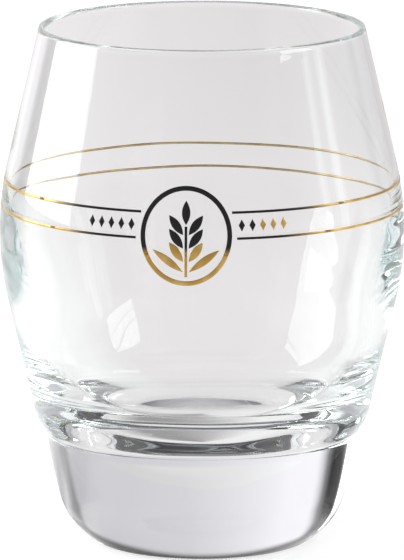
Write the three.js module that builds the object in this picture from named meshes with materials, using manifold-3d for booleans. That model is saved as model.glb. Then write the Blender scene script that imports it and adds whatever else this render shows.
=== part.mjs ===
import * as THREE from "three";
import { mergeVertices } from "three/addons/utils/BufferGeometryUtils.js";
import Module from "manifold-3d";

// A barrel-shaped beer glass on a heavy solid foot, with a fired print round its belly.
// Millimetres, +Z up. The origin is the middle of the ring that the foot stands on,
// and the emblem in the print faces -Y.

// Outside of the bowl: two cones that meet in a rounded belly
const glassHeight = 107.4;
const bellyRadius = 41.8;
const bellyHeight = 64.6;
const bellyArc = 64.9; // radius of the belly's curve, seen from the side
const wallLean = 13.2; // degrees that each cone leans in, away from the belly

// Wall of the bowl, thin at the rim and heavy below the belly
const rimWall = 1.35;
const lowerWall = 4;
const thinWallDrop = 30; // the wall stays thin down to this far below the rim
const fullWallDrop = 60; // and has its lower thickness from this far below the rim

// Inside floor of the bowl
const floorThickness = 1.2; // glass between the foot and the beer
const floorCurveHeight = 19.4; // height in which the wall sweeps round into the floor
const floorFlatRadius = 14;

// Bottom corner of the bowl, rolled in to meet the foot
const cornerInset = 1.4;
const cornerRadius = 7;

// Foot, a solid block
const footHeight = 23.4;
const footTopLean = 7.7; // degrees, beside the bowl
const footHeelLean = 14.2; // degrees, where the heel begins
const heelHeight = 9.5;
const heelInset = 7; // how far the heel draws in above the table
const heelBaseLean = 56; // degrees, at the table
const bearingWidth = 3.6; // flat ring that stands on the table
const recessDepth = 1.2; // hollow of the underside, inside that ring

// Print: thin enamel and gold on the outside of the bowl
const printThickness = 0.1;
const printGap = 0.04; // keeps the print clear of the bowl's flat facets
const colourGap = 0.12; // between a black and a gold piece in one stroke

// Two lines round the belly, black beside the emblem and gold behind
const upperLineHeight = 75.7;
const lowerLineHeight = 70.5;
const lineWidth = 0.5;
const lineStop = 1; // bare glass between the emblem and the lines
const upperBlackEnd = 48; // degrees from the emblem's middle
const lowerBlackEnd = 42;

// Emblem: an ear of barley in an upright oval frame
const emblemHeight = 71; // middle of the oval above the table
const emblemHalfWidth = 9.2;
const emblemHalfHeight = 10;
const frameWidth = 0.95;
const goldDrop = 3.7; // the emblem is gold from this far below its middle
const stemWidth = 0.55;
const stemDrop = 8.2; // foot of the stem, below the emblem's middle
const stemRise = 2; // top of the stem, above it
const grainLength = 4.8;
const grainWidth = 1.7;
const grainTilt = 36; // degrees from the stem
const grainPitch = 2.7;
const grainPairs = 3;
const grainGap = 0.3; // between the stem and what grows beside it
const leafLength = 7.6;
const leafWidth = 1.5;
const leafTilt = 54;
const leafRise = 1; // root of the leaves above the foot of the stem
const grainRise = 3.1; // root of the lowest grains above the foot of the stem

// Lozenges between the lines, on both sides of the emblem
const lozengeCount = 5;
const lozengeHalfWidth = 0.65;
const lozengeHalfHeight = 1.2;
const lozengePitch = 2.2;
const lozengeStop = 1.3; // bare glass between the emblem and the first lozenge
const rightBlackLozenges = 2; // the others on the right are gold

// Fineness of the round forms
const turnSteps = 72;
const cornerSteps = 4;
const bellySteps = 8;
const lipSteps = 8;
const insideSteps = 12;
const floorSteps = 8;
const footSideSteps = 3;
const heelSteps = 6;
const recessSteps = 4;
const ovalSteps = 20;
const leafSteps = 5;

const mergeDistance = 1e-4;
const wasm = await Module();
wasm.setup();

const radians = THREE.MathUtils.degToRad;
const lean = radians(wallLean);
const bellyReach = bellyArc * Math.sin(lean); // half the height of the rounded belly
const lipRadius = (rimWall * Math.cos(lean)) / 2;
const lipHeight = glassHeight - lipRadius; // centre of the rounded lip
const floorHeight = footHeight + floorThickness;
const seamRadius = outerRadius(footHeight) - cornerInset; // where bowl and foot meet
const bellyHeights = spread(bellyHeight - bellyReach, bellyHeight + bellyReach, bellySteps);
const printReach = bellyRadius + printGap + 2 * printThickness; // past the outside of the print

// Evenly spaced values from one number to another, both included
function spread(from, to, steps) {
  return Array.from({ length: steps + 1 }, (_, i) => from + ((to - from) * i) / steps);
}

// Points of a round stretch of outline: x is the radius on the glass, y the height
function arc(centre, radius, fromAngle, toAngle, steps) {
  return spread(fromAngle, toAngle, steps).map(
    (angle) =>
      new THREE.Vector2(
        centre.x + radius * Math.cos(angle),
        centre.y + radius * Math.sin(angle),
      ),
  );
}

// Radius of the bowl's outside at a height
function outerRadius(height) {
  const away = Math.abs(height - bellyHeight);
  if (away < bellyReach) {
    return bellyRadius - bellyArc + Math.sqrt(bellyArc ** 2 - away ** 2);
  }
  const coneTop = bellyRadius - bellyArc * (1 - Math.cos(lean));
  return coneTop - (away - bellyReach) * Math.tan(lean);
}

// Radius of the bowl's inside at a height, above the sweep into the floor
function innerRadius(height) {
  const share = THREE.MathUtils.smoothstep(glassHeight - height, thinWallDrop, fullWallDrop);
  return outerRadius(height) - rimWall - (lowerWall - rimWall) * share;
}

// Arc from the seam with the foot up to the lower cone, which it touches
function bottomCorner() {
  const inset = cornerInset * Math.cos(lean);
  const along = Math.sqrt(cornerRadius ** 2 - (cornerRadius - inset) ** 2);
  const inward = cornerRadius - inset;
  const centre = new THREE.Vector2(
    seamRadius + along * Math.sin(lean) - inward * Math.cos(lean),
    footHeight + along * Math.cos(lean) + inward * Math.sin(lean),
  );
  const seamAngle = Math.atan2(footHeight - centre.y, seamRadius - centre.x);
  return arc(centre, cornerRadius, seamAngle, -lean, cornerSteps);
}

function lip() {
  const centre = new THREE.Vector2(outerRadius(lipHeight) - rimWall / 2, lipHeight);
  return arc(centre, lipRadius, lean, lean + Math.PI, lipSteps);
}

// Sweep from the inside wall into the flat middle of the floor
function floorSweep(top) {
  const wallEnd = new THREE.Vector2(innerRadius(top), top);
  const corner = new THREE.Vector2(wallEnd.x - (top - floorHeight) * Math.tan(lean), floorHeight);
  const floorEnd = new THREE.Vector2(floorFlatRadius, floorHeight);
  return new THREE.QuadraticBezierCurve(wallEnd, corner, floorEnd).getPoints(floorSteps);
}

function bowlProfile() {
  const sweepTop = floorHeight + floorCurveHeight;
  const inside = spread(lipHeight, sweepTop, insideSteps).slice(1, -1);
  return [
    new THREE.Vector2(0, footHeight),
    ...bottomCorner(),
    ...bellyHeights.map((height) => new THREE.Vector2(outerRadius(height), height)),
    ...lip(),
    ...inside.map((height) => new THREE.Vector2(innerRadius(height), height)),
    ...floorSweep(sweepTop),
    new THREE.Vector2(0, floorHeight),
  ];
}

// Where a line through one point, leaning one way, crosses a line through another
function crossing(upper, upperLean, lower, lowerLean) {
  const fall = (upper.x - lower.x - (upper.y - lower.y) * Math.tan(lowerLean)) /
    (Math.tan(upperLean) - Math.tan(lowerLean));
  return new THREE.Vector2(upper.x - fall * Math.tan(upperLean), upper.y - fall);
}

function footProfile() {
  const topLean = radians(footTopLean);
  const heelLean = radians(footHeelLean);
  const sideArc = (footHeight - heelHeight) / (Math.sin(heelLean) - Math.sin(topLean));
  const centre = new THREE.Vector2(
    seamRadius - sideArc * Math.cos(topLean),
    footHeight + sideArc * Math.sin(topLean),
  );
  const side = arc(centre, sideArc, -heelLean, -topLean, footSideSteps);
  const heelTop = side[0];
  const heelFoot = new THREE.Vector2(heelTop.x - heelInset, 0);
  const bend = crossing(heelTop, heelLean, heelFoot, radians(heelBaseLean));
  const heel = new THREE.QuadraticBezierCurve(heelFoot, bend, heelTop).getPoints(heelSteps);
  const recessRadius = heelFoot.x - bearingWidth;
  const recessArc = (recessRadius ** 2 + recessDepth ** 2) / (2 * recessDepth);
  const recessCentre = new THREE.Vector2(0, recessDepth - recessArc);
  const recessAngle = Math.asin(recessRadius / recessArc);
  const recess = arc(recessCentre, recessArc, Math.PI / 2, Math.PI / 2 - recessAngle, recessSteps);
  return [...recess, ...heel, ...side.slice(1), new THREE.Vector2(0, footHeight)];
}

// Outline turned round the glass's axis, with its first column of points towards -Y
function turned(profile) {
  return new THREE.LatheGeometry(profile, turnSteps).rotateX(Math.PI / 2);
}

function solidFrom(geometry) {
  const loose = geometry.index ? geometry.toNonIndexed() : geometry;
  const bare = new THREE.BufferGeometry();
  bare.setAttribute("position", loose.getAttribute("position"));
  const merged = mergeVertices(bare, mergeDistance);
  const mesh = new wasm.Mesh({
    numProp: 3,
    vertProperties: merged.attributes.position.array,
    triVerts: new Uint32Array(merged.index.array),
  });
  return new wasm.Manifold(mesh);
}

function geometryFrom(solid) {
  const mesh = solid.getMesh();
  const geometry = new THREE.BufferGeometry();
  geometry.setAttribute("position", new THREE.BufferAttribute(mesh.vertProperties, 3));
  geometry.setIndex(new THREE.BufferAttribute(mesh.triVerts, 1));
  geometry.computeVertexNormals();
  return geometry;
}

// Layer of print all round the bowl between two heights, with the bowl's own facets
function printLayer(low, high) {
  const between = bellyHeights.filter((height) => height > low && height < high);
  const heights = [low, ...between, high];
  const outline = (offset) =>
    heights.map((height) => new THREE.Vector2(outerRadius(height) + printGap + offset, height));
  const outside = outline(printThickness);
  return solidFrom(turned([...outside, ...outline(0).reverse(), outside[0]]));
}

// Solid that a flat shape sweeps outwards from the glass's axis, at an angle from -Y
function swept(shape, azimuth = 0) {
  const settings = { depth: printReach, bevelEnabled: false, curveSegments: ovalSteps };
  const geometry = new THREE.ExtrudeGeometry(shape, settings);
  return solidFrom(geometry.rotateX(Math.PI / 2).rotateZ(azimuth));
}

// Upright wedge between two angles from -Y, tall enough for every line
function wedge(fromAngle, toAngle) {
  const across = (angle) => {
    const reach = printReach / Math.cos((toAngle - fromAngle) / 2);
    return new THREE.Vector2(reach * Math.sin(angle), -reach * Math.cos(angle));
  };
  const outline = [new THREE.Vector2(0, 0), across(fromAngle), across(toAngle)];
  const shape = new THREE.Shape(outline);
  return solidFrom(new THREE.ExtrudeGeometry(shape, { depth: glassHeight, bevelEnabled: false }));
}

function oval(halfWidth, halfHeight) {
  return new THREE.Shape().absellipse(0, emblemHeight, halfWidth, halfHeight, 0, 2 * Math.PI);
}

function rectangle(halfWidth, low, high) {
  const corners = [[-halfWidth, low], [halfWidth, low], [halfWidth, high], [-halfWidth, high]];
  return new THREE.Shape(corners.map(([x, y]) => new THREE.Vector2(x, y)));
}

// Pointed oval that grows from its root, tilted from the vertical towards +X
function leafShape(root, tilt, length, width) {
  const base = new THREE.Vector2(0, 0);
  const tip = new THREE.Vector2(0, length);
  const bulge = new THREE.Vector2(width, length / 2);
  const right = new THREE.QuadraticBezierCurve(base, bulge, tip).getPoints(leafSteps);
  const left = right.slice(1, -1).reverse().map((point) => new THREE.Vector2(-point.x, point.y));
  const centre = new THREE.Vector2(0, 0);
  return new THREE.Shape([...right, ...left].map((point) => point.rotateAround(centre, -tilt).add(root)));
}

const glassFinish = { color: 0xeef1f1, roughness: 0.03, metalness: 0, transparent: true, opacity: 0.35 };
const blackFinish = { color: 0x121113, roughness: 0.25, metalness: 0 };
const goldFinish = { color: 0xc79a2e, roughness: 0.3, metalness: 1 };

const glass = new THREE.Group();

function place(name, geometry, finish) {
  const piece = new THREE.Mesh(geometry, new THREE.MeshStandardMaterial(finish));
  piece.name = name;
  glass.add(piece);
}

// One line round the belly: a black arc on each side of the emblem and a gold arc behind
function addLine(name, height, blackEnd) {
  const layer = printLayer(height - lineWidth / 2, height + lineWidth / 2);
  const emblemShare = THREE.MathUtils.clamp((height - emblemHeight) / emblemHalfHeight, -1, 1);
  const emblemSide = emblemHalfWidth * Math.sqrt(1 - emblemShare ** 2);
  const start = Math.asin((emblemSide + lineStop) / outerRadius(height));
  const end = radians(blackEnd);
  const change = colourGap / outerRadius(height);
  place(`${name}_left`, geometryFrom(layer.intersect(wedge(-end, -start))), blackFinish);
  place(`${name}_right`, geometryFrom(layer.intersect(wedge(start, end))), blackFinish);
  place(`${name}_back`, geometryFrom(layer.subtract(wedge(-end - change, end + change))), goldFinish);
}

function addEmblem() {
  const low = emblemHeight - emblemHalfHeight;
  const high = emblemHeight + emblemHalfHeight;
  const layer = printLayer(low - 2 * frameWidth, high + 2 * frameWidth);
  const print = (name, shape, finish) =>
    place(name, geometryFrom(layer.intersect(swept(shape))), finish);

  const goldTop = emblemHeight - goldDrop;
  const blackPart = swept(rectangle(2 * emblemHalfWidth, goldTop + colourGap, high + frameWidth));
  const goldPart = swept(rectangle(2 * emblemHalfWidth, low - frameWidth, goldTop));
  const frameShape = oval(emblemHalfWidth, emblemHalfHeight);
  frameShape.holes.push(oval(emblemHalfWidth - frameWidth, emblemHalfHeight - frameWidth));
  const frame = layer.intersect(swept(frameShape));
  place("emblem_frame_top", geometryFrom(frame.intersect(blackPart)), blackFinish);
  place("emblem_frame_bottom", geometryFrom(frame.intersect(goldPart)), goldFinish);

  const stemFoot = emblemHeight - stemDrop;
  const stemTop = emblemHeight + stemRise;
  print("barley_stem_top", rectangle(stemWidth / 2, goldTop + colourGap, stemTop), blackFinish);
  print("barley_stem_bottom", rectangle(stemWidth / 2, stemFoot, goldTop), goldFinish);
  const tipRoot = new THREE.Vector2(0, stemTop + grainGap);
  print("barley_grain_tip", leafShape(tipRoot, 0, grainLength, grainWidth), blackFinish);
  for (const [side, sign] of [["left", -1], ["right", 1]]) {
    const beside = sign * (stemWidth / 2 + grainGap);
    const leafRoot = new THREE.Vector2(beside, stemFoot + leafRise);
    const leafTurn = sign * radians(leafTilt);
    print(`barley_leaf_${side}`, leafShape(leafRoot, leafTurn, leafLength, leafWidth), goldFinish);
    for (let pair = 0; pair < grainPairs; pair++) {
      const root = new THREE.Vector2(beside, stemFoot + grainRise + pair * grainPitch);
      const shape = leafShape(root, sign * radians(grainTilt), grainLength, grainWidth);
      const finish = root.y < goldTop ? goldFinish : blackFinish;
      print(`barley_grain_${side}_${pair + 1}`, shape, finish);
    }
  }
}

function addLozenges() {
  const middle = (upperLineHeight + lowerLineHeight) / 2;
  const radius = outerRadius(middle);
  const layer = printLayer(middle - 2 * lozengeHalfHeight, middle + 2 * lozengeHalfHeight);
  const corners = [[0, -lozengeHalfHeight], [lozengeHalfWidth, 0], [0, lozengeHalfHeight], [-lozengeHalfWidth, 0]];
  const shape = new THREE.Shape(corners.map(([x, y]) => new THREE.Vector2(x, middle + y)));
  const first = Math.asin(emblemHalfWidth / radius) + (lozengeStop + lozengeHalfWidth) / radius;
  for (const [side, sign, blackCount] of [["left", -1, lozengeCount], ["right", 1, rightBlackLozenges]]) {
    for (let index = 0; index < lozengeCount; index++) {
      const azimuth = sign * (first + (index * lozengePitch) / radius);
      const finish = index < blackCount ? blackFinish : goldFinish;
      const piece = layer.intersect(swept(shape, azimuth));
      place(`lozenge_${side}_${index + 1}`, geometryFrom(piece), finish);
    }
  }
}

place("bowl", turned(bowlProfile()), glassFinish);
place("foot", turned(footProfile()), glassFinish);
addLine("upper_line", upperLineHeight, upperBlackEnd);
addLine("lower_line", lowerLineHeight, lowerBlackEnd);
addEmblem();
addLozenges();

export default glass;
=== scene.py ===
import math
import bmesh
import bpy
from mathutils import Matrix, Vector


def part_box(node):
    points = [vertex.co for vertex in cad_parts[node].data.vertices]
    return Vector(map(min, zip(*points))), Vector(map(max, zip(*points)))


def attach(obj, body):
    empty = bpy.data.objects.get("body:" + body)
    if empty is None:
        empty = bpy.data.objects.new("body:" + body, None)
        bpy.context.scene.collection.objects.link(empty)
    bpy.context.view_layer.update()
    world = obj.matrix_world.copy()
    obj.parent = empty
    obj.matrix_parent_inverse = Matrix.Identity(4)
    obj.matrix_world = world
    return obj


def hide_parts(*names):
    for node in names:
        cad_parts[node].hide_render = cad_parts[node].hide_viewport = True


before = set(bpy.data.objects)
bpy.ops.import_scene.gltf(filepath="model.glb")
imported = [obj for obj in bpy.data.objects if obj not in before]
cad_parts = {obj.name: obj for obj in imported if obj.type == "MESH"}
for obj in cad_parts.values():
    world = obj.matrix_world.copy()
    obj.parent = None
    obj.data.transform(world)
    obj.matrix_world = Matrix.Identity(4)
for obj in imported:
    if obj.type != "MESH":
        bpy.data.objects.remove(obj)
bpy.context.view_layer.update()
print("frame loaded")

degree = math.pi / 180
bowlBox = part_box("bowl")
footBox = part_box("foot")


# Shader sums: a Wire is one output socket, and sums on it add Math nodes
class Wire:
    def __init__(self, tree, socket):
        self.tree = tree
        self.socket = socket

    def sum(self, operation, first, second=0.0):
        return self.tree.node("ShaderNodeMath", {"operation": operation}, {0: first, 1: second})

    def __add__(self, other):
        return self.sum("ADD", self, other)

    def __radd__(self, other):
        return self.sum("ADD", other, self)

    def __sub__(self, other):
        return self.sum("SUBTRACT", self, other)

    def __rsub__(self, other):
        return self.sum("SUBTRACT", other, self)

    def __mul__(self, other):
        return self.sum("MULTIPLY", self, other)

    def __rmul__(self, other):
        return self.sum("MULTIPLY", other, self)

    def __truediv__(self, other):
        return self.sum("DIVIDE", self, other)

    def __rtruediv__(self, other):
        return self.sum("DIVIDE", other, self)

    def size(self):
        return self.sum("ABSOLUTE", self)


# A node tree, of a material or of the world, that is filled through one method
class Tree:
    def __init__(self, nodeTree):
        self.nodeTree = nodeTree
        nodeTree.nodes.clear()

    def node(self, kind, settings=None, sockets=None, output=0):
        made = self.nodeTree.nodes.new(kind)
        for key, value in (settings or {}).items():
            if key == "stops":
                elements = made.color_ramp.elements
                for index, (place, color) in enumerate(value):
                    stop = elements[index] if index < 2 else elements.new(place)
                    stop.position = place
                    stop.color = color
            else:
                setattr(made, key, value)
        for key, value in (sockets or {}).items():
            if isinstance(value, Wire):
                self.nodeTree.links.new(value.socket, made.inputs[key])
            else:
                made.inputs[key].default_value = value
        return Wire(self, made.outputs[output]) if made.outputs else None

    def mixed(self, share, first, second):
        settings = {"data_type": "RGBA"}
        return self.node("ShaderNodeMix", settings, {0: share, 6: first, 7: second}, 2)

    def noise(self, scale, detail, place):
        return self.node("ShaderNodeTexNoise", None, {"Scale": scale, "Detail": detail, "Vector": place})

    def stepped(self, value, low, high):  # 0 below low, 1 above high, smooth between
        settings = {"interpolation_type": "SMOOTHSTEP"}
        return self.node("ShaderNodeMapRange", settings, {0: value, 1: low, 2: high})

    def scaled(self, vector, factor):
        return self.node("ShaderNodeVectorMath", {"operation": "SCALE"}, {0: vector, "Scale": factor})

    def place(self):
        return self.node("ShaderNodeTexCoord", None, None, "Object")

    def axes(self, place):
        split = self.node("ShaderNodeSeparateXYZ", None, {0: place})
        return [Wire(self, output) for output in split.socket.node.outputs]

    def azimuth(self, x, y):  # 0 on the emblem's side, in radians, positive to its right
        return self.node("ShaderNodeMath", {"operation": "ARCTAN2"}, {0: x, 1: 0 - y})

    def bump(self, height, distance, strength):
        sockets = {"Strength": strength, "Distance": distance, "Height": height}
        return self.node("ShaderNodeBump", None, sockets)


def newTree(name):
    material = bpy.data.materials.new(name)
    material.use_nodes = True
    return material, Tree(material.node_tree)


# Camera: where the photographer stood, a little to the right of the emblem and above the rim
photoView = {
    "azimuth": 4.45 * degree,
    "elevation": 11.25 * degree,
    "distance": 1.3,
    "lens": 403.7,
    "sensor": 36,
    "aimHeight": 0.05393,
    "farthest": 20,
}


def makeCamera():
    values = photoView
    camera = bpy.data.objects.new("photoCamera", bpy.data.cameras.new("photoCamera"))
    bpy.context.collection.objects.link(camera)
    camera.data.lens = values["lens"]
    camera.data.sensor_width = values["sensor"]
    camera.data.clip_end = values["farthest"]
    level = math.cos(values["elevation"])
    back = Vector((
        math.sin(values["azimuth"]) * level,
        -math.cos(values["azimuth"]) * level,
        math.sin(values["elevation"]),
    ))
    camera.location = Vector((0, 0, values["aimHeight"])) + back * values["distance"]
    camera.rotation_euler = back.to_track_quat("Z", "Y").to_euler()
    bpy.context.scene.camera = camera


makeCamera()
print("camera placed")


# Glass: one fused body, foot and bowl, in metres
glassShape = {
    "height": bowlBox[1][2],
    "bellyRadius": bowlBox[1][0],
    "bellyHeight": 0.0646,
    "bellyArc": 0.0649,
    "lean": 13.2 * degree,
    "rimWall": 0.00135,
    "lowerWall": 0.004,
    "thinWallDrop": 0.03,
    "fullWallDrop": 0.06,
    "floorThickness": 0.0012,
    "floorCurveHeight": 0.0194,
    "floorFlatRadius": 0.014,
    "seamHeight": footBox[1][2],
    "seamRadius": footBox[1][0],
    "cornerRadius": 0.007,
    "footTopLean": 7.7 * degree,
    "footHeelLean": 14.2 * degree,
    "heelHeight": 0.0095,
    "heelInset": 0.007,
    "heelBaseLean": 56 * degree,
    "bearingWidth": 0.0036,
    "recessDepth": 0.0012,
    "turnSteps": 192,
    "pointSpacing": 0.0007,
    "arcSteps": 24,
    "outsideSteps": 160,
    "lipSteps": 16,
    "insideSteps": 100,
    "floorSteps": 50,
    "softSeam": 0.0012,  # reach of the softened crease at the seam
    "softPasses": 6,
    "softFrom": 0.8,  # share of the seam's radius outside which it is softened
}


def spread(low, high, steps):
    return [low + (high - low) * index / steps for index in range(steps + 1)]


def outerRadius(height):
    shape = glassShape
    arc, lean = shape["bellyArc"], shape["lean"]
    reach = arc * math.sin(lean)
    away = abs(height - shape["bellyHeight"])
    if away < reach:
        return shape["bellyRadius"] - arc + math.sqrt(arc ** 2 - away ** 2)
    coneTop = shape["bellyRadius"] - arc * (1 - math.cos(lean))
    return coneTop - (away - reach) * math.tan(lean)


def lipRadius():
    return glassShape["rimWall"] * math.cos(glassShape["lean"]) / 2


def innerRadius(height):
    shape = glassShape
    drop = shape["height"] - height
    share = (drop - shape["thinWallDrop"]) / (shape["fullWallDrop"] - shape["thinWallDrop"])
    share = min(max(share, 0), 1)  # how far the wall has grown from its thickness at the rim
    thicker = (shape["lowerWall"] - shape["rimWall"]) * share ** 2 * (3 - 2 * share)
    return outerRadius(height) - shape["rimWall"] - thicker


def arcPoints(centre, radius, fromAngle, toAngle, steps=glassShape["arcSteps"]):
    return [
        Vector((centre[0] + radius * math.cos(angle), centre[1] + radius * math.sin(angle)))
        for angle in spread(fromAngle, toAngle, steps)
    ]


def curvePoints(start, bend, end, steps=glassShape["arcSteps"]):  # quadratic curve
    return [
        start * (1 - t) ** 2 + bend * 2 * t * (1 - t) + end * t ** 2
        for t in spread(0, 1, steps)
    ]


def footOutline():
    shape = glassShape
    topLean, heelLean = shape["footTopLean"], shape["footHeelLean"]
    sideArc = (shape["seamHeight"] - shape["heelHeight"]) / (math.sin(heelLean) - math.sin(topLean))
    centre = (
        shape["seamRadius"] - sideArc * math.cos(topLean),
        shape["seamHeight"] + sideArc * math.sin(topLean),
    )
    side = arcPoints(centre, sideArc, -heelLean, -topLean)
    heelTop = side[0]
    heelFoot = Vector((heelTop.x - shape["heelInset"], 0))
    baseSlope = math.tan(shape["heelBaseLean"])
    heelSlope = math.tan(heelLean)
    fall = (heelTop.x - heelFoot.x - heelTop.y * baseSlope) / (heelSlope - baseSlope)
    bend = Vector((heelTop.x - fall * heelSlope, heelTop.y - fall))
    heel = curvePoints(heelFoot, bend, heelTop)
    recessRadius = heelFoot.x - shape["bearingWidth"]
    recessArc = (recessRadius ** 2 + shape["recessDepth"] ** 2) / (2 * shape["recessDepth"])
    recessAngle = math.asin(recessRadius / recessArc)
    recessCentre = (0, shape["recessDepth"] - recessArc)
    recess = arcPoints(recessCentre, recessArc, math.pi / 2, math.pi / 2 - recessAngle)
    return recess + heel + side[1:]


def cornerOutline():
    shape = glassShape
    lean, radius = shape["lean"], shape["cornerRadius"]
    inset = (outerRadius(shape["seamHeight"]) - shape["seamRadius"]) * math.cos(lean)
    along = math.sqrt(radius ** 2 - (radius - inset) ** 2)
    inward = radius - inset
    centre = (
        shape["seamRadius"] + along * math.sin(lean) - inward * math.cos(lean),
        shape["seamHeight"] + along * math.cos(lean) + inward * math.sin(lean),
    )
    seamAngle = math.atan2(shape["seamHeight"] - centre[1], shape["seamRadius"] - centre[0])
    return arcPoints(centre, radius, seamAngle, -lean)


def bowlOutline():
    shape = glassShape
    lipHeight = shape["height"] - lipRadius()
    corner = cornerOutline()
    heights = spread(corner[-1].y, lipHeight, shape["outsideSteps"])
    outside = [Vector((outerRadius(height), height)) for height in heights]
    lipCentre = (outerRadius(lipHeight) - shape["rimWall"] / 2, lipHeight)
    lip = arcPoints(lipCentre, lipRadius(), shape["lean"], shape["lean"] + math.pi, shape["lipSteps"])
    floorHeight = shape["seamHeight"] + shape["floorThickness"]
    sweepTop = floorHeight + shape["floorCurveHeight"]
    heights = spread(lipHeight, sweepTop, shape["insideSteps"])
    inside = [Vector((innerRadius(height), height)) for height in heights]
    wallEnd = inside[-1]
    bend = Vector((wallEnd.x - (sweepTop - floorHeight) * math.tan(shape["lean"]), floorHeight))
    floor = curvePoints(wallEnd, bend, Vector((shape["floorFlatRadius"], floorHeight)), shape["floorSteps"])
    return corner[1:] + outside[1:] + lip[1:] + inside[1:] + floor[1:] + [Vector((0, floorHeight))]


# The same outline with evenly spaced points
def respaced(points, spacing):
    lengths = [0.0]
    for before, after in zip(points, points[1:]):
        lengths.append(lengths[-1] + (after - before).length)
    count = round(lengths[-1] / spacing)
    result, index = [], 0
    for target in spread(0, lengths[-1], count):
        while index < len(points) - 2 and lengths[index + 1] < target:
            index += 1
        share = (target - lengths[index]) / (lengths[index + 1] - lengths[index])
        result.append(points[index].lerp(points[index + 1], min(share, 1)))
    return result


# Rounds the crease at the seam, where the hot glass flowed together
def softened(points):
    shape = glassShape
    result = [point.copy() for point in points]
    for _ in range(shape["softPasses"]):
        before = [point.copy() for point in result]
        for index in range(1, len(result) - 1):
            isNear = abs(before[index].y - shape["seamHeight"]) < shape["softSeam"]
            if isNear and before[index].x > shape["seamRadius"] * shape["softFrom"]:
                result[index] = (before[index - 1] + before[index] * 2 + before[index + 1]) / 4
    return result


# Outline turned round the glass's axis, with each point moved a little by shifted
def turnedMesh(name, outline, steps, shifted):
    mesh = bmesh.new()
    rings = []
    for point in outline:
        if point.x == 0:
            rings.append([mesh.verts.new((0, 0, point.y))])
            continue
        ring = []
        for index in range(steps):
            angle = 2 * math.pi * index / steps
            radius, height = shifted(point.x, point.y, angle)
            spot = (radius * math.sin(angle), -radius * math.cos(angle), height)
            ring.append(mesh.verts.new(spot))
        rings.append(ring)
    for low, high in zip(rings, rings[1:]):
        for index in range(steps):
            after = (index + 1) % steps
            corners = [low[index % len(low)], low[after % len(low)]]
            corners += [high[after % len(high)], high[index % len(high)]]
            mesh.faces.new(list(dict.fromkeys(corners)))  # a triangle where a ring is one point
    return finishedMesh(name, mesh)


def finishedMesh(name, mesh):
    bmesh.ops.recalc_face_normals(mesh, faces=mesh.faces)
    for face in mesh.faces:
        face.smooth = True
    data = bpy.data.meshes.new(name)
    mesh.to_mesh(data)
    mesh.free()
    piece = bpy.data.objects.new(name, data)
    bpy.context.collection.objects.link(piece)
    return piece


# Slight unevenness that hot glass keeps: most on the inside floor, least at the lip
glassRipple = {
    "inside": 0.00012,
    "outside": 0.00002,
    "waves": [(2, 0.4, 0.9), (3, 1.7, 0.6), (5, 0.3, 0.4), (8, 2.2, 0.25)],  # count, start, amount
    "waveRange": 2.2,
    "twist": 60,  # how fast the waves turn with height
    "inward": 0.6,  # share of the inside's wave that moves the wall
    "evenBelow": 0.3,  # share of the seam's height that stays even
    "evenAbove": 0.985,  # share of the glass's height from which it stays even
    "insideFrom": 0.6,  # share of the wall at the rim, from the outside, that counts as outside
    "floorTop": 0.035,
}


def rippled(radius, height, angle):
    shape, ripple = glassShape, glassRipple
    seam, top = shape["seamHeight"], shape["height"]
    if height < seam * ripple["evenBelow"] or height > top * ripple["evenAbove"]:
        return radius, height
    wave = sum(
        amount * math.sin(count * angle + start + height * ripple["twist"] * count)
        for count, start, amount in ripple["waves"]
    )
    outsideEnd = outerRadius(height) - shape["rimWall"] * ripple["insideFrom"]
    if height <= seam or radius >= outsideEnd:
        return radius - ripple["outside"] * (1 + wave / ripple["waveRange"]), height
    deep = 1 - (height - seam) / (top - seam)
    change = ripple["inside"] * wave * deep ** 2 * min(radius / shape["floorFlatRadius"], 1)
    isFloor = height < ripple["floorTop"]
    return radius + change * ripple["inward"], height + (change if isFloor else 0)


def makeGlass():
    shape = glassShape
    outline = softened(respaced(footOutline() + bowlOutline(), shape["pointSpacing"]))
    outline[0].x = outline[-1].x = 0
    glass = turnedMesh("fusedGlass", outline, shape["turnSteps"], rippled)
    glass.data.materials.append(clearGlass())
    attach(glass, "root")
    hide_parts("bowl", "foot")


glassFinish = {
    "tint": (0.985, 0.995, 0.992, 1),
    "ior": 1.52,
    "smudge": 0.012,  # roughness of the faintest wipe marks
    "smudgeScale": 35,
    "smudged": (0.45, 0.8),  # noise at which a wipe mark begins and is full
    "absorbed": (0.6, 0.82, 0.8, 1),
    "density": 2.2,
    "waveScale": 45,
    "waveHeight": 0.00003,
    "waveStrength": 0.3,
}


def clearGlass():
    values = glassFinish
    material, tree = newTree("clearGlass")
    place = tree.place()
    wiped = tree.noise(values["smudgeScale"], 4, place)
    waves = tree.noise(values["waveScale"], 1, place)
    surface = tree.node("ShaderNodeBsdfPrincipled", None, {
        "Base Color": values["tint"],
        "Roughness": tree.stepped(wiped, *values["smudged"]) * values["smudge"],
        "IOR": values["ior"],
        "Transmission Weight": 1.0,
        "Normal": tree.bump(waves, values["waveHeight"], values["waveStrength"]),
    })
    inside = tree.node("ShaderNodeVolumeAbsorption", None, {
        "Color": values["absorbed"],
        "Density": values["density"],
    })
    tree.node("ShaderNodeOutputMaterial", None, {"Surface": surface, "Volume": inside})
    return material


makeGlass()
print("glass turned")


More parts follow.
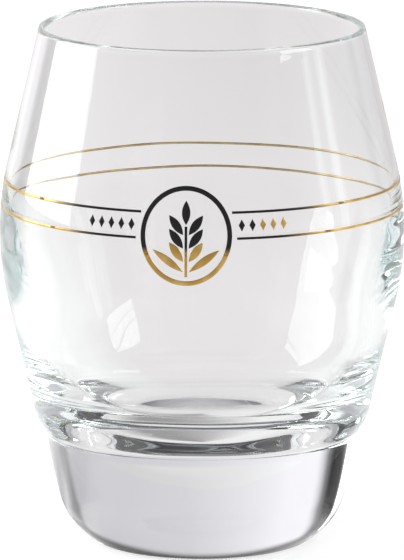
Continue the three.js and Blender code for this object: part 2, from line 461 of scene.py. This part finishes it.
# Print: strokes of black and gold that follow the outside of the bowl
printShape = {
    "thickness": 0.00005,
    # Pairs of the place across a stroke and its share of the thickness
    "crown": [(-1, 0.35), (-0.8, 0.85), (0, 1), (0.8, 0.85), (1, 0.35)],
    "sunk": 0.00002,  # how deep the fired print bites into the glass
    "point": 0.00002,  # half width of a stroke's sharp end
    "upperLine": 0.0757,
    "lowerLine": 0.0705,
    "lineWidth": 0.0005,
    "lineStop": 0.001,
    "lineStep": 1.5 * degree,
    "upperBlackEnd": 48 * degree,
    "lowerBlackEnd": 42 * degree,
    "goldFade": 16 * degree,  # stretch of a black line that turns to gold
    "colourGap": 0.00004,
}
emblemShape = {
    "height": 0.071,
    "halfWidth": 0.0092,
    "halfHeight": 0.01,
    "frameWidth": 0.00095,
    "goldDrop": 0.0037,
    "fadeDrop": 0.0006,
    "fade": 0.0022,
    "stemWidth": 0.00055,
    "stemDrop": 0.0082,
    "stemRise": 0.002,
    "grainLength": 0.0048,
    "grainWidth": 0.0017,
    "grainTilt": 36 * degree,
    "grainPitch": 0.0027,
    "grainPairs": 3,
    "grainGap": 0.0003,
    "grainRise": 0.0031,
    "leafLength": 0.0076,
    "leafWidth": 0.0015,
    "leafTilt": 54 * degree,
    "leafRise": 0.001,
    "topSteps": 90,
    "bottomSteps": 60,
    "stemSteps": 8,
    "leafSteps": 14,
}
lozengeShape = {
    "count": 5,
    "halfWidth": 0.00065,
    "halfHeight": 0.0012,
    "pitch": 0.0022,
    "stop": 0.0013,
    "rightBlack": 2,
    "steps": 8,
}


def onGlass(angle, height, lift):
    radius = outerRadius(height) + lift
    return (radius * math.sin(angle), -radius * math.cos(angle), height)


# Point of the emblem's flat drawing, x to the right of its middle, as seen from the front
def fromFront(x, height, lift, azimuth=0.0):
    return onGlass(azimuth + math.asin(x / outerRadius(height)), height, lift)


# Closed strip of print: stations are pairs of (left edge, right edge) points on the drawing
def makeStroke(node, stations, placed, finish):
    shape = printShape
    mesh = bmesh.new()
    rings = []
    for left, right in stations:
        middle = (left + right) / 2
        half = (right - left) / 2
        ring = []
        for across, share in shape["crown"]:
            spot = middle + half * across
            ring.append(mesh.verts.new(placed(spot.x, spot.y, shape["thickness"] * share)))
        for spot in (right, left):
            ring.append(mesh.verts.new(placed(spot.x, spot.y, -shape["sunk"])))
        rings.append(ring)
    for before, after in zip(rings, rings[1:]):
        for index in range(len(before)):
            following = (index + 1) % len(before)
            mesh.faces.new((before[index], before[following], after[following], after[index]))
    mesh.faces.new(rings[0])
    mesh.faces.new(list(reversed(rings[-1])))
    piece = finishedMesh("printed_" + node, mesh)
    piece.data.materials.append(finish)
    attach(piece, "root")
    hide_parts(node)


# Stations of a leaf or grain that grows from its root, tilted to the right of the vertical
def leafStations(root, tilt, length, width):
    along = Vector((math.sin(tilt), math.cos(tilt)))
    across = Vector((math.cos(tilt), -math.sin(tilt)))
    stations = []
    for share in spread(0, 1, emblemShape["leafSteps"]):
        half = max(2 * share * (1 - share) * width, printShape["point"])
        middle = root + along * length * share
        stations.append((middle - across * half, middle + across * half))
    return stations


def lineStations(fromAngle, toAngle, height):
    half = printShape["lineWidth"] / 2
    steps = math.ceil(abs(toAngle - fromAngle) / printShape["lineStep"])
    return [
        (Vector((angle, height + half)), Vector((angle, height - half)))
        for angle in spread(fromAngle, toAngle, steps)
    ]


def ovalStations(fromAngle, toAngle, steps):
    shape = emblemShape
    half = shape["frameWidth"] / 2
    width, height = shape["halfWidth"] - half, shape["halfHeight"] - half
    stations = []
    for angle in spread(fromAngle, toAngle, steps):
        middle = Vector((width * math.cos(angle), shape["height"] + height * math.sin(angle)))
        outward = Vector((height * math.cos(angle), width * math.sin(angle))).normalized()
        stations.append((middle + outward * half, middle - outward * half))
    return stations


printColours = {
    "black": (0.004, 0.004, 0.0045, 1),
    "worn": (0.014, 0.012, 0.011, 1),
    "roughness": 0.2,
    "clouding": 0.1,
    "gold": (0.86, 0.6, 0.2, 1),
    "goldDeep": (0.66, 0.41, 0.1, 1),
    "goldRoughness": 0.24,
    "goldGrain": 0.15,
    "ior": 1.5,
    "cloudScale": 260,
    "speckScale": 500,
    "grainScale": 1400,
    "grainHeight": 0.000012,
    "grainStrength": 0.5,
    # Noise at which each begins and is full
    "wornFrom": (0.55, 0.75),
    "deepFrom": (0.35, 0.65),
    "gildedFrom": (0.02, 0.12),
}


# One finish for both colours of the print: goldShare is 0 where the print is drawn black and 1 on gold
def printFinish(name, goldShareOf):
    values = printColours
    material, tree = newTree(name)
    place = tree.place()
    grain = tree.noise(values["grainScale"], 3, place)
    cloud = tree.noise(values["cloudScale"], 2, place)
    goldShare = goldShareOf(tree, place)
    black = tree.mixed(tree.stepped(grain, *values["wornFrom"]), values["black"], values["worn"])
    gold = tree.mixed(tree.stepped(cloud, *values["deepFrom"]), values["gold"], values["goldDeep"])
    blackRoughness = values["roughness"] + cloud * values["clouding"]
    goldRoughness = values["goldRoughness"] + grain * values["goldGrain"]
    surface = tree.node("ShaderNodeBsdfPrincipled", None, {
        "Base Color": tree.mixed(goldShare, black, gold),
        "Roughness": blackRoughness * (1 - goldShare) + goldRoughness * goldShare,
        "Metallic": goldShare,
        "IOR": values["ior"],
        "Normal": tree.bump(grain, values["grainHeight"], values["grainStrength"]),
    })
    tree.node("ShaderNodeOutputMaterial", None, {"Surface": surface})
    return material


def allGold(tree, place):
    speck = tree.noise(printColours["speckScale"], 2, place)
    return tree.stepped(speck, *printColours["gildedFrom"])


# A line is drawn black on the emblem's side and turns to gold between these two azimuths farther round
def goldAtLineEnds(fromAngle, toAngle):
    def share(tree, place):
        x, y, z = tree.axes(place)
        return tree.stepped(tree.azimuth(x.size(), y), fromAngle, toAngle)
    return share


# Drawn black above this height and turning to gold below it
def goldBelow(height, fade):
    def share(tree, place):
        x, y, z = tree.axes(place)
        return 1 - tree.stepped(z, height, height + fade)
    return share


def makeLines():
    shape = printShape
    gold = printFinish("goldLine", allGold)
    for name, height, end in (
        ("upper_line", shape["upperLine"], shape["upperBlackEnd"]),
        ("lower_line", shape["lowerLine"], shape["lowerBlackEnd"]),
    ):
        black = printFinish(name + "Black", goldAtLineEnds(end - shape["goldFade"], end))
        rise = min(max((height - emblemShape["height"]) / emblemShape["halfHeight"], -1), 1)
        emblemSide = emblemShape["halfWidth"] * math.sqrt(1 - rise ** 2)
        start = math.asin((emblemSide + shape["lineStop"]) / outerRadius(height))
        change = shape["colourGap"] / outerRadius(height)
        left = lineStations(-end, -start, height)
        right = lineStations(start, end, height)
        back = lineStations(end + change, 2 * math.pi - end - change, height)
        makeStroke(name + "_left", left, onGlass, black)
        makeStroke(name + "_right", right, onGlass, black)
        makeStroke(name + "_back", back, onGlass, gold)


def makeEmblem():
    shape = emblemShape
    goldTop = shape["height"] - shape["goldDrop"]
    black = printFinish("emblemBlack", goldBelow(goldTop - shape["fadeDrop"], shape["fade"]))
    gold = printFinish("emblemGold", allGold)
    turn = math.asin(shape["goldDrop"] / (shape["halfHeight"] - shape["frameWidth"] / 2))
    top = ovalStations(-turn, math.pi + turn, shape["topSteps"])
    bottom = ovalStations(math.pi + turn, 2 * math.pi - turn, shape["bottomSteps"])
    makeStroke("emblem_frame_top", top, fromFront, black)
    makeStroke("emblem_frame_bottom", bottom, fromFront, gold)

    stemFoot = shape["height"] - shape["stemDrop"]
    stemTop = shape["height"] + shape["stemRise"]
    half = Vector((shape["stemWidth"] / 2, 0))
    for node, low, high, finish, slot in (
        ("barley_stem_bottom", stemFoot, goldTop, gold, "bright_gold"),
        ("barley_stem_top", goldTop, stemTop, black, "black_enamel"),
    ):
        middles = [Vector((0, height)) for height in spread(low, high, shape["stemSteps"])]
        stations = [(middle - half, middle + half) for middle in middles]
        makeStroke(node, stations, fromFront, finish)

    length, width = shape["grainLength"], shape["grainWidth"]
    tip = leafStations(Vector((0, stemTop + shape["grainGap"])), 0, length, width)
    makeStroke("barley_grain_tip", tip, fromFront, black)
    for side, sign in (("left", -1), ("right", 1)):
        beside = sign * (shape["stemWidth"] / 2 + shape["grainGap"])
        root = Vector((beside, stemFoot + shape["leafRise"]))
        leaf = leafStations(root, sign * shape["leafTilt"], shape["leafLength"], shape["leafWidth"])
        makeStroke("barley_leaf_" + side, leaf, fromFront, gold)
        for pair in range(shape["grainPairs"]):
            root = Vector((beside, stemFoot + shape["grainRise"] + pair * shape["grainPitch"]))
            grain = leafStations(root, sign * shape["grainTilt"], length, width)
            finish, slot = (gold, "bright_gold") if root.y < goldTop else (black, "black_enamel")
            node = "barley_grain_" + side + "_" + str(pair + 1)
            makeStroke(node, grain, fromFront, finish)


def makeLozenges():
    shape = lozengeShape
    middle = (printShape["upperLine"] + printShape["lowerLine"]) / 2
    radius = outerRadius(middle)
    first = math.asin(emblemShape["halfWidth"] / radius) + (shape["stop"] + shape["halfWidth"]) / radius
    black = printFinish("lozengeBlack", goldBelow(0.0, 0.001))  # all black: it has nothing so low
    gold = printFinish("lozengeGold", allGold)
    stations = []
    for share in spread(-1, 1, shape["steps"]):
        half = Vector((max(shape["halfWidth"] * (1 - abs(share)), printShape["point"]), 0))
        centre = Vector((0, middle + shape["halfHeight"] * share))
        stations.append((centre - half, centre + half))
    for side, sign, blackCount in (("left", -1, shape["count"]), ("right", 1, shape["rightBlack"])):
        for index in range(shape["count"]):
            azimuth = sign * (first + index * shape["pitch"] / radius)
            finish, slot = (black, "black_enamel") if index < blackCount else (gold, "bright_gold")
            node = "lozenge_" + side + "_" + str(index + 1)
            placed = lambda x, height, lift: fromFront(x, height, lift, azimuth)
            makeStroke(node, stations, placed, finish)


makeLines()
makeEmblem()
makeLozenges()
print("print laid on")


# Stage: a white table in a pale room. Lists hold (azimuth, level) pairs of what the glass and the gold
# show of it, painted reflections that light nothing, with azimuths in degrees from the emblem's side,
# positive to its right
stageLook = {
    "tableRadius": 2.2,
    "tableSides": 96,
    "tableDrop": 0.0002,  # keeps the table clear of the foot
    "table": (0.84, 0.84, 0.845),
    "tableRoughness": 0.6,
    "fleckScale": 60,
    "fleckDarkness": 0.985,
    "tableLift": 0.56,  # brings the lit table to white where the camera sees it
    "roomLight": 0.55,
    "highest": 1.2,  # no level in the lists passes this
    "bounces": 256,  # light goes round in the lip for long
    # Room at the table's height, above it, and overhead
    "horizon": [
        (-180, 0.72), (-172, 0.79), (-160, 0.91), (-150, 1.02), (-100, 1.05), (-75, 0.7), (-50, 0.35),
        (-25, 0.55), (0, 0.45), (45, 0.48), (60, 0.38), (75, 0.57), (90, 0.85), (105, 0.63), (150, 0.64),
        (180, 0.72),
    ],
    "sky": [
        (-180, 0.03), (-150, 0.04), (-110, 0.12), (-60, 0.05), (-30, 0.2), (20, 0.2), (50, 0.08),
        (100, 0.08), (150, 0.05), (180, 0.03),
    ],
    "zenith": [(-180, 0.25), (-90, 0.5), (90, 0.55), (180, 0.25)],
    "skyFrom": 0.42,  # heights are those of a direction: 0 level, 1 straight up
    "skyTo": 0.56,
    "zenithFrom": 0.88,
    "zenithTo": 0.95,
    "roomTint": (0.99, 0.945, 1.0),
    # Table round the foot and under it, by distance from the middle: near holds a painted glow, brighter
    # towards the soft boxes and darker in front, and under the foot lies a painted shadow, darkest to the
    # front and left
    "near": [
        (-180, 0.84), (-172, 0.85), (-165, 0.86), (-150, 1.06), (-105, 1.15), (-60, 0.98), (-45, 0.66),
        (50, 0.74), (60, 0.92), (75, 1.1), (150, 0.97), (165, 0.9), (180, 0.84),
    ],
    "nearFrom": 0.1,
    "nearTo": 0.8,
    "paintedFootShadow": [
        (-180, 0.8), (-75, 0.85), (-45, 0.35), (-20, 0.35), (0, 0.45), (15, 0.55), (48, 0.95), (180, 0.8),
    ],
    "footShadowFrom": 0.02,
    "footShadowTo": 0.045,
    # Shares of the level that are taken: a painted shadow on the table at the foot's left and right, and
    # farther off darker bands in the room and on the table, one beside the left soft box and a narrow one
    # at the right
    "shaded": [
        (-130, 0), (-115, 0.55), (-108, 0.4), (-101, 0.05), (-94, 0.4), (-90, 0.7), (-84, 0.8), (-76, 0.8),
        (-70, 0.3), (-60, 0), (82, 0), (92, 0.6), (98, 0.75), (104, 0.8), (113, 0.8), (122, 0.3), (135, 0),
    ],
    "shadedFrom": (0.025, 0.035),
    "shadedTo": (0.075, 0.095),
    "darkened": [
        (-137, 0), (-134, 0.3), (-131, 0.78), (-127, 1), (-116, 1), (-110, 0), (123, 0), (127, 0.35),
        (132, 0.5), (136, 0),
    ],
    "darkenedFrom": (0.35, 0.6),
    "tableTint": (1.025, 0.981, 0.992),  # of what isn't bright: it fades between these levels
    "tintFrom": 0.86,
    "tintTo": 1.0,
}


# Level or share that changes with azimuth
def lookAround(tree, x, y, name):
    highest = stageLook["highest"]
    stops = [(turn / 360 + 0.5, [level / highest] * 3 + [1]) for turn, level in stageLook[name]]
    turned = tree.azimuth(x, y) / (2 * math.pi) + 0.5
    return highest * tree.node("ShaderNodeValToRGB", {"stops": stops}, {0: turned})


def seenByCamera(tree):
    return tree.node("ShaderNodeLightPath", None, None, "Is Camera Ray")


def seenByGlass(tree):
    isGlossy = tree.node("ShaderNodeLightPath", None, None, "Is Glossy Ray")
    isThrough = tree.node("ShaderNodeLightPath", None, None, "Is Transmission Ray")
    return tree.node("ShaderNodeMath", {"operation": "MAXIMUM"}, {0: isGlossy, 1: isThrough})


def tableLevel(tree, x, y):
    look = stageLook
    far = tree.node("ShaderNodeMath", {"operation": "SQRT"}, {0: x * x + y * y})
    isFar = tree.stepped(far, look["nearFrom"], look["nearTo"])
    isInFootShadow = 1 - tree.stepped(far, look["footShadowFrom"], look["footShadowTo"])
    isShaded = tree.stepped(far, *look["shadedFrom"]) * (1 - tree.stepped(far, *look["shadedTo"]))
    # Painted light and shade for glass and gold: glow towards the soft boxes, shadow under and beside the
    # foot
    level = lookAround(tree, x, y, "near") * (1 - isFar) + lookAround(tree, x, y, "horizon") * isFar
    level = level * (1 - lookAround(tree, x, y, "darkened") * tree.stepped(far, *look["darkenedFrom"]))
    level = level * (1 - isInFootShadow) + lookAround(tree, x, y, "paintedFootShadow") * isInFootShadow
    return level * (1 - lookAround(tree, x, y, "shaded") * isShaded)


def makeTable():
    look = stageLook
    mesh = bmesh.new()
    sides, radius = look["tableSides"], look["tableRadius"]
    bmesh.ops.create_circle(mesh, cap_ends=True, segments=sides, radius=radius)
    table = finishedMesh("table", mesh)
    table.location.z = -look["tableDrop"]
    material, tree = newTree("tableWhite")
    place = tree.place()
    fleck = tree.noise(look["fleckScale"], 2, place)
    white = (*look["table"], 1)
    flecked = (*(look["fleckDarkness"] * part for part in look["table"]), 1)
    lit = tree.node("ShaderNodeBsdfPrincipled", None, {
        "Base Color": tree.mixed(fleck, white, flecked),
        "Roughness": look["tableRoughness"],
        "Emission Color": tree.scaled((look["tableLift"],) * 3, seenByCamera(tree)),
        "Emission Strength": 1.0,
    })
    x, y, z = tree.axes(place)
    level = tableLevel(tree, x, y)
    isBright = tree.stepped(level, look["tintFrom"], look["tintTo"])
    tint = tree.mixed(isBright, (*look["tableTint"], 1), (1, 1, 1, 1))
    # Painted light and shade of the table, shown only to the glass and the gold in place of the lit table
    shown = tree.node("ShaderNodeEmission", None, {"Color": tree.scaled(tint, level)})
    surface = tree.node("ShaderNodeMixShader", None, {0: seenByGlass(tree), 1: lit, 2: shown})
    tree.node("ShaderNodeOutputMaterial", None, {"Surface": surface})
    table.data.materials.append(material)


def makeRoom():
    look = stageLook
    world = bpy.data.worlds.new("whiteRoom")
    world.use_nodes = True
    bpy.context.scene.world = world
    tree = Tree(world.node_tree)
    x, y, z = tree.axes(tree.node("ShaderNodeTexCoord", None, None, "Generated"))
    # Painted reflection: the room's levels show only in the glass and the gold, and light nothing
    low = lookAround(tree, x, y, "horizon") * (1 - lookAround(tree, x, y, "darkened"))
    sky = lookAround(tree, x, y, "sky")
    overhead = tree.stepped(z, look["zenithFrom"], look["zenithTo"])
    sky = sky + (lookAround(tree, x, y, "zenith") - sky) * overhead
    level = low + (sky - low) * tree.stepped(z, look["skyFrom"], look["skyTo"])
    isCamera = seenByCamera(tree)
    isGlass = seenByGlass(tree)
    level = isCamera + (1 - isCamera) * (isGlass * level + (1 - isGlass) * look["roomLight"])
    tint = tree.mixed(isGlass, (1, 1, 1, 1), (*look["roomTint"], 1))
    surface = tree.node("ShaderNodeBackground", None, {"Color": tree.scaled(tint, level)})
    tree.node("ShaderNodeOutputWorld", None, {"Surface": surface})


# Soft boxes and painted reflections of window panes, in metres from the glass's axis and from the table:
# "light" is the lamp that lights the table and the print, "shine" is what the glass and the gold show of it
softBoxes = {
    "left": {
        "azimuth": -94.5, "distance": 0.62, "low": 0.055, "wide": 0.476, "tall": 0.43,
        "light": 4.5, "shine": 4.0, "tint": (1, 1, 1),
    },
    "right": {
        "azimuth": 74.5, "distance": 0.9, "low": 0.325, "wide": 0.42, "tall": 0.425,
        "light": 4.5, "shine": 4.5, "tint": (1, 1, 1),
    },
    # The panes have no lamp: they light nothing and are painted reflections of a window in the glass and
    # the gold
    "paneReflection": {
        "azimuth": 80.5, "distance": 1.1, "low": 0, "wide": 0.1, "tall": 0.34,
        "light": 0, "shine": 1.7, "tint": (0.94, 0.99, 1),
    },
    "farPaneReflection": {
        "azimuth": 92.5, "distance": 1.1, "low": 0, "wide": 0.12, "tall": 0.34,
        "light": 0, "shine": 2.0, "tint": (0.94, 0.99, 1),
    },
}
clothLook = {"scale": 8, "darkness": 0.1}


def makeSoftBoxes():
    for name, values in softBoxes.items():
        azimuth = values["azimuth"] * degree
        outward = Vector((math.sin(azimuth), -math.cos(azimuth), 0))
        along = Vector((math.cos(azimuth), math.sin(azimuth), 0))
        if values["light"]:
            makeLamp(name, values, outward)
        makeShine(name, values, outward, along)


def makeLamp(name, values, outward):
    light = bpy.data.lights.new(name + "Lamp", "AREA")
    light.shape = "RECTANGLE"
    light.size = values["wide"]
    light.size_y = values["tall"]
    light.energy = values["light"] * math.pi * values["wide"] * values["tall"]
    middle = Vector((0, 0, values["low"] + values["tall"] / 2))
    lamp = bpy.data.objects.new(name + "Lamp", light)
    bpy.context.collection.objects.link(lamp)
    lamp.location = outward * values["distance"] + middle
    lamp.rotation_euler = outward.to_track_quat("Z", "Y").to_euler()
    lamp.visible_glossy = False
    lamp.visible_transmission = False


def makeShine(name, values, outward, along):
    material, tree = newTree(name + "Shine")
    cloth = tree.noise(clothLook["scale"], 2, tree.place())
    level = values["shine"] * (1 - clothLook["darkness"] * cloth)
    surface = tree.node("ShaderNodeEmission", None, {"Color": tree.scaled(values["tint"], level)})
    tree.node("ShaderNodeOutputMaterial", None, {"Surface": surface})
    # The panes' glow has no lamp behind it: it is a painted reflection only
    material.cycles.emission_sampling = "NONE"  # the lamp gives the light
    mesh = bmesh.new()
    corners = []
    for side, top in ((-1, 0), (1, 0), (1, 1), (-1, 1)):
        base = outward * values["distance"] + along * side * values["wide"] / 2
        corners.append(mesh.verts.new(base + Vector((0, 0, values["low"] + top * values["tall"]))))
    mesh.faces.new(corners)
    face = finishedMesh(name + "Face", mesh)
    face.data.materials.append(material)
    face.visible_camera = False
    face.visible_diffuse = False
    face.visible_shadow = False


makeTable()
makeRoom()
makeSoftBoxes()
cycles = bpy.context.scene.cycles
cycles.max_bounces = cycles.glossy_bounces = cycles.transmission_bounces = stageLook["bounces"]
bpy.context.scene.view_settings.view_transform = "Standard"
print("stage lit")
